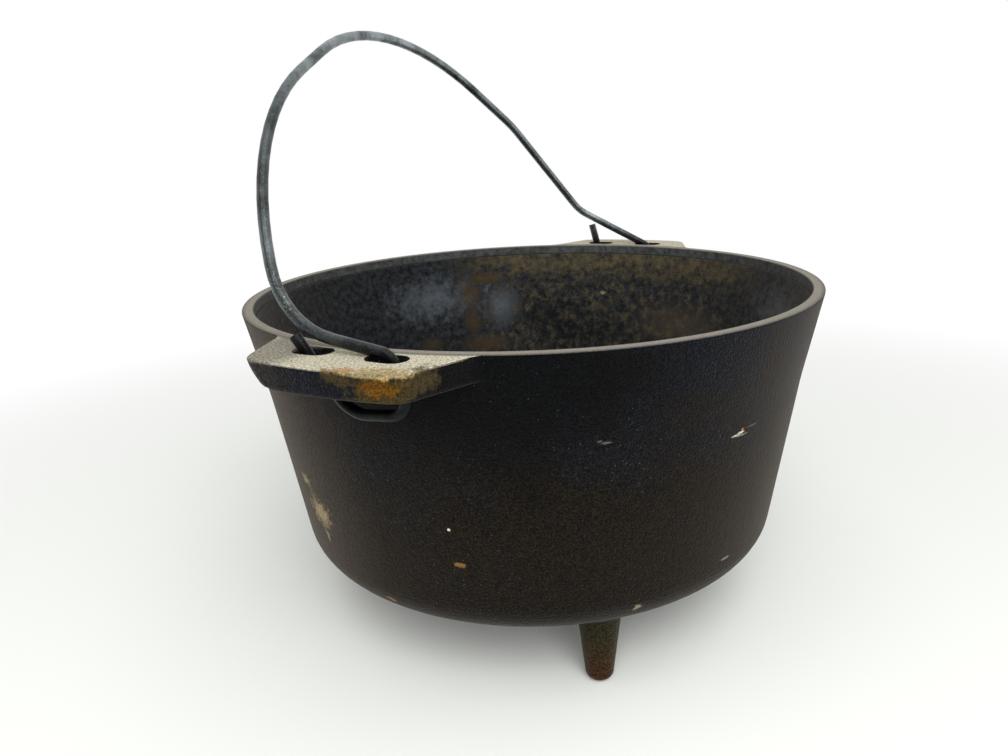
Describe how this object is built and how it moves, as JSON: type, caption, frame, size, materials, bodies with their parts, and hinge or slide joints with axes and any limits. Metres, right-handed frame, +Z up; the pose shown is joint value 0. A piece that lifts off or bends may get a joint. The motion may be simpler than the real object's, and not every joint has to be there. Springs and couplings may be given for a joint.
{
  "type": "cast iron pot",
  "caption": "Deep round cast iron camp pot on short tapered legs, with pierced ears and a wire bail that swings over the open top.",
  "frame": {"origin": "on the floor, under the middle of the pot: the feet stand on z = 0 and the pot's axis is the Z axis", "axes": "+Z up along the pot's axis, +X through the middle of one ear and -X through the other, +Y toward the side that the bail leans to at rest"},
  "size_m": [0.3618, 0.3046, 0.3143],
  "materials": {
    "cast_iron": "matte as-cast iron, weathered",
    "bail_wire": "dull oxidised zinc-coated steel wire"
  },
  "bodies": {
    "pot": {"pot_casting": "cast_iron"},
    "bail": {"bail_handle": "bail_wire"}
  },
  "joints": [
    {"name": "bail_swing", "type": "hinge", "parent": "pot", "child": "bail", "pos_m": [0, -0.008, 0.174], "axis": [1, 0, 0], "range_deg": [0, 102]}
  ]
}
